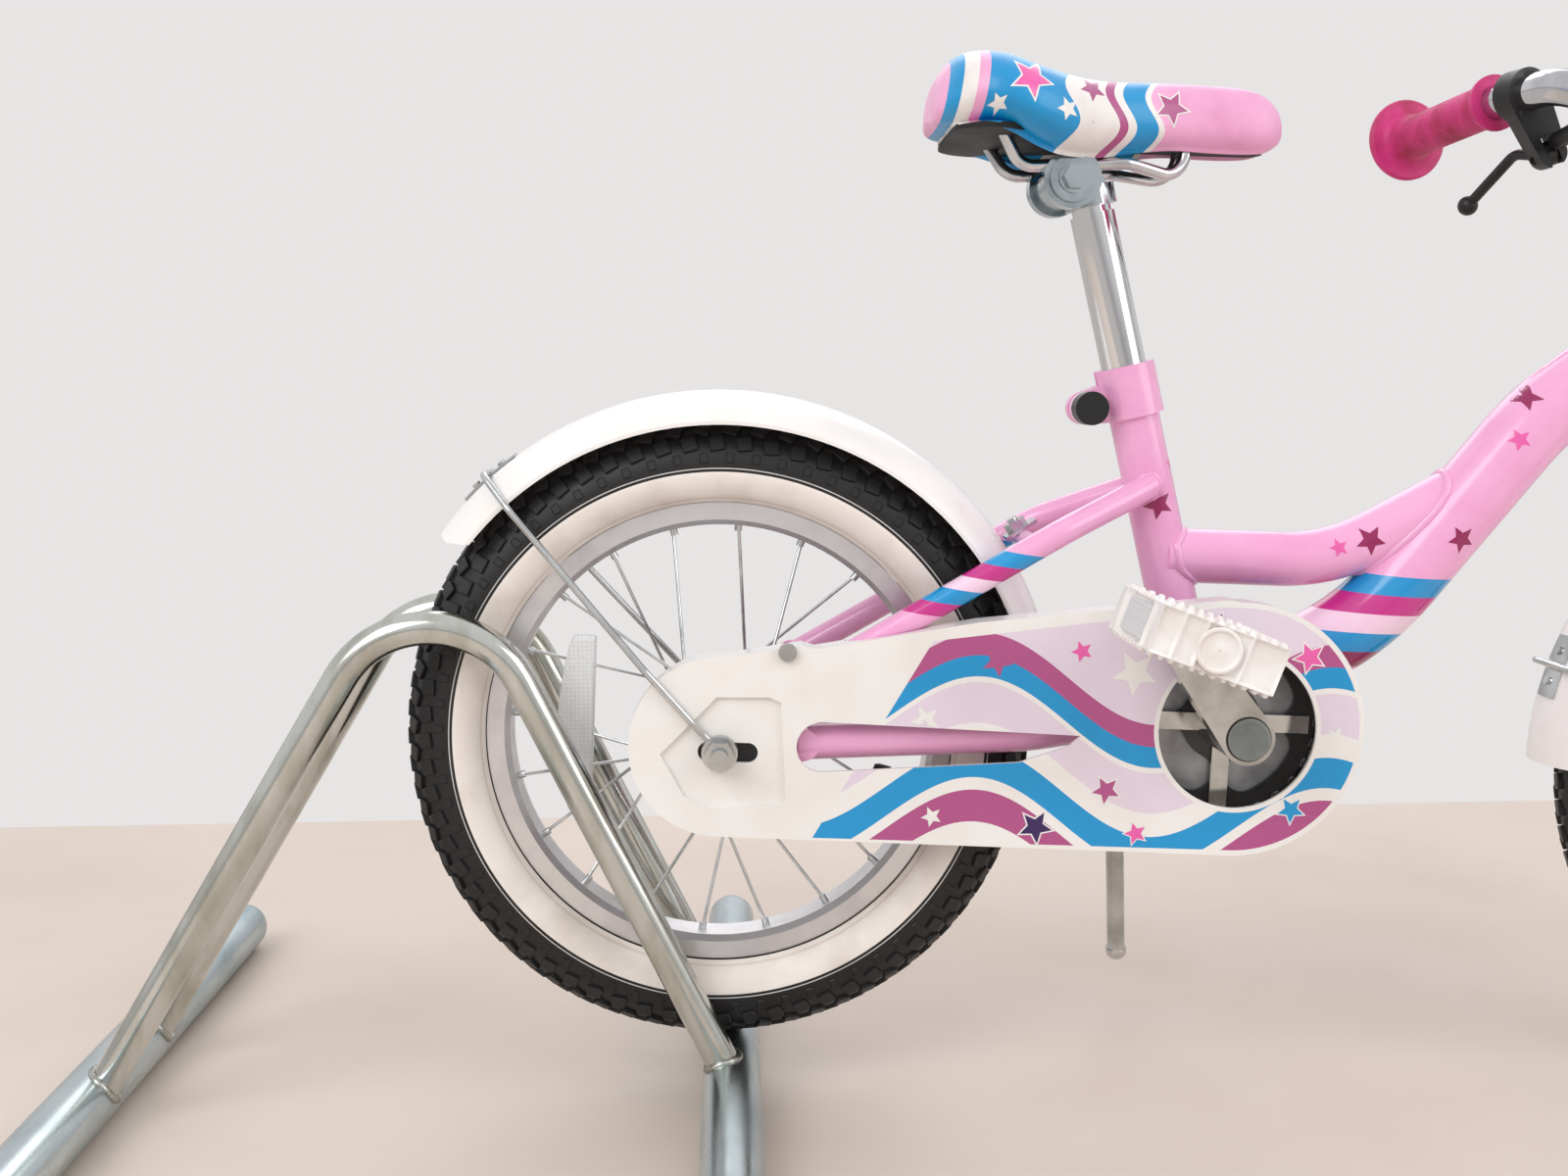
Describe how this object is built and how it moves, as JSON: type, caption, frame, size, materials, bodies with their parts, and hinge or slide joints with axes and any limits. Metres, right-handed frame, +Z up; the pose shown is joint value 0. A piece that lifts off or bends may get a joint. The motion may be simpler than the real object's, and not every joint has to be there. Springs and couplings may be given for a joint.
{
  "type": "bicycle on stand",
  "caption": "Child's bicycle with a chain guard, mudguards and coaster brake, its rear wheel parked between the bent tube hoops of a floor stand.",
  "frame": {"origin": "on the floor under the rear axle, in the middle plane of both wheels", "axes": "+X forward along the bicycle, +Y to the rider's left, +Z up"},
  "size_m": [1.2409, 0.5396, 0.6107],
  "materials": {
    "frame_paint": "gloss",
    "zinc": "satin",
    "cap": "satin",
    "chrome": "polished",
    "steel": "satin",
    "dark_steel": "oiled",
    "black_steel": "satin",
    "white_plastic": "gloss",
    "pedal_plastic": "satin",
    "black_plastic": "satin",
    "tyre": "matte",
    "rim": "satin",
    "spoke": "bright",
    "clear_plastic": "clear",
    "vinyl": "satin",
    "grip": "matte",
    "cable": "satin"
  },
  "bodies": {
    "stand": {"stand_rails": "zinc", "stand_right_hoop": "zinc", "stand_left_hoop": "zinc", "rail_caps": "cap"},
    "frame": {"bottom_bracket_shell": "frame_paint", "seat_tube": "frame_paint", "down_tube": "frame_paint", "top_tube": "frame_paint", "head_tube": "frame_paint", "right_chainstay": "frame_paint", "left_chainstay": "frame_paint", "right_seatstay": "frame_paint", "left_seatstay": "frame_paint", "seat_collar": "frame_paint", "collar_bolt": "black_plastic", "headset_cups": "chrome", "bottom_bracket_cups": "steel", "rear_axle": "steel", "coaster_arm": "steel", "chain_guard": "white_plastic", "frame_screws": "steel", "rear_mudguard": "white_plastic", "rear_mudguard_stay": "steel", "chain": "dark_steel", "kickstand_bracket": "frame_paint"},
    "kickstand": {"kickstand_leg": "steel"},
    "rear_wheel": {"rear_tyre": "tyre", "rear_rim": "rim", "rear_spokes": "spoke", "rear_hub": "steel", "wheel_reflector": "clear_plastic"},
    "rear_sprocket": {"rear_sprocket": "dark_steel"},
    "crank": {"crank_spindle": "steel", "right_crank": "steel", "left_crank": "steel", "chainring": "black_steel"},
    "right_pedal": {"right_pedal": "pedal_plastic"},
    "left_pedal": {"left_pedal": "pedal_plastic"},
    "seatpost": {"seatpost": "chrome", "saddle_clamp": "steel"},
    "saddle": {"saddle_cover": "vinyl", "saddle_base": "black_plastic", "saddle_rails": "steel", "clamp_cheeks": "steel"},
    "steering": {"fork": "frame_paint", "front_axle": "steel", "stem": "chrome", "handlebar": "chrome", "grips": "grip", "front_mudguard": "white_plastic", "front_mudguard_stay": "steel", "brake_lever_mount": "black_plastic", "brake_cable": "cable"},
    "brake_lever": {"brake_lever": "black_plastic"},
    "right_brake_arm": {"right_brake_arm": "black_steel"},
    "left_brake_arm": {"left_brake_arm": "black_steel"},
    "front_wheel": {"front_tyre": "tyre", "front_rim": "rim", "front_spokes": "spoke", "front_hub": "steel"}
  },
  "joints": [
    {"name": "bike_lift", "type": "slide", "parent": "stand", "child": "frame", "axis": [0, 0, 1], "range_m": [0, 0.25]},
    {"name": "kickstand_fold", "type": "hinge", "parent": "frame", "child": "kickstand", "pos_m": [0.2426, 0.045, 0.20101], "axis": [-0.1224, 0.9886, 0.0881], "range_deg": [0, 88]},
    {"name": "rear_wheel_spin", "type": "hinge", "parent": "frame", "child": "rear_wheel", "pos_m": [0, 0, 0.215], "axis": [0, 1, 0], "continuous": true},
    {"name": "crank_spin", "type": "hinge", "parent": "frame", "child": "crank", "pos_m": [0.28423, 0, 0.22299], "axis": [0, 1, 0], "continuous": true, "deforming": ["chain"]},
    {"name": "rear_sprocket_spin", "type": "hinge", "parent": "frame", "child": "rear_sprocket", "pos_m": [0, 0, 0.215], "axis": [0, 1, 0], "continuous": true},
    {"name": "right_pedal_spin", "type": "hinge", "parent": "crank", "child": "right_pedal", "pos_m": [0.24099, -0.134, 0.28549], "axis": [0, 1, 0], "continuous": true},
    {"name": "left_pedal_spin", "type": "hinge", "parent": "crank", "child": "left_pedal", "pos_m": [0.32746, 0.134, 0.16048], "axis": [0, 1, 0], "continuous": true},
    {"name": "seat_height", "type": "slide", "parent": "frame", "child": "seatpost", "axis": [-0.2194, 0, 0.9756], "range_m": [-0.06, 0.04]},
    {"name": "saddle_tilt", "type": "hinge", "parent": "seatpost", "child": "saddle", "pos_m": [0.19849, 0, 0.52575], "axis": [0, 1, 0], "range_deg": [-12, 12]},
    {"name": "steering_turn", "type": "hinge", "parent": "frame", "child": "steering", "pos_m": [0.56235, 0, 0.44065], "axis": [-0.3284, 0, 0.9445], "range_deg": [-60, 60]},
    {"name": "front_wheel_spin", "type": "hinge", "parent": "steering", "child": "front_wheel", "pos_m": [0.68217, 0, 0.1813], "axis": [0, 1, 0], "continuous": true},
    {"name": "brake_lever_pull", "type": "hinge", "parent": "steering", "child": "brake_lever", "pos_m": [0.52547, 0.09943, 0.55472], "axis": [0.8975, 0, 0.4411], "range_deg": [0, 20], "stiffness_Nm_per_rad": 0.6, "springref_deg": -17.19},
    {"name": "right_brake_close", "type": "hinge", "parent": "steering", "child": "right_brake_arm", "pos_m": [0.6023, 0, 0.3836], "axis": [0.9445, 0, 0.3284], "range_deg": [0, 1]},
    {"name": "left_brake_close", "type": "hinge", "parent": "steering", "child": "left_brake_arm", "pos_m": [0.60608, 0, 0.38492], "axis": [-0.9445, 0, -0.3284], "range_deg": [0, 1]}
  ],
  "couplings": [
    {"joint": "rear_sprocket_spin", "follows": "crank_spin", "ratio": 2},
    {"joint": "right_brake_close", "follows": "brake_lever_pull", "ratio": 0.0475},
    {"joint": "left_brake_close", "follows": "brake_lever_pull", "ratio": 0.0475}
  ]
}
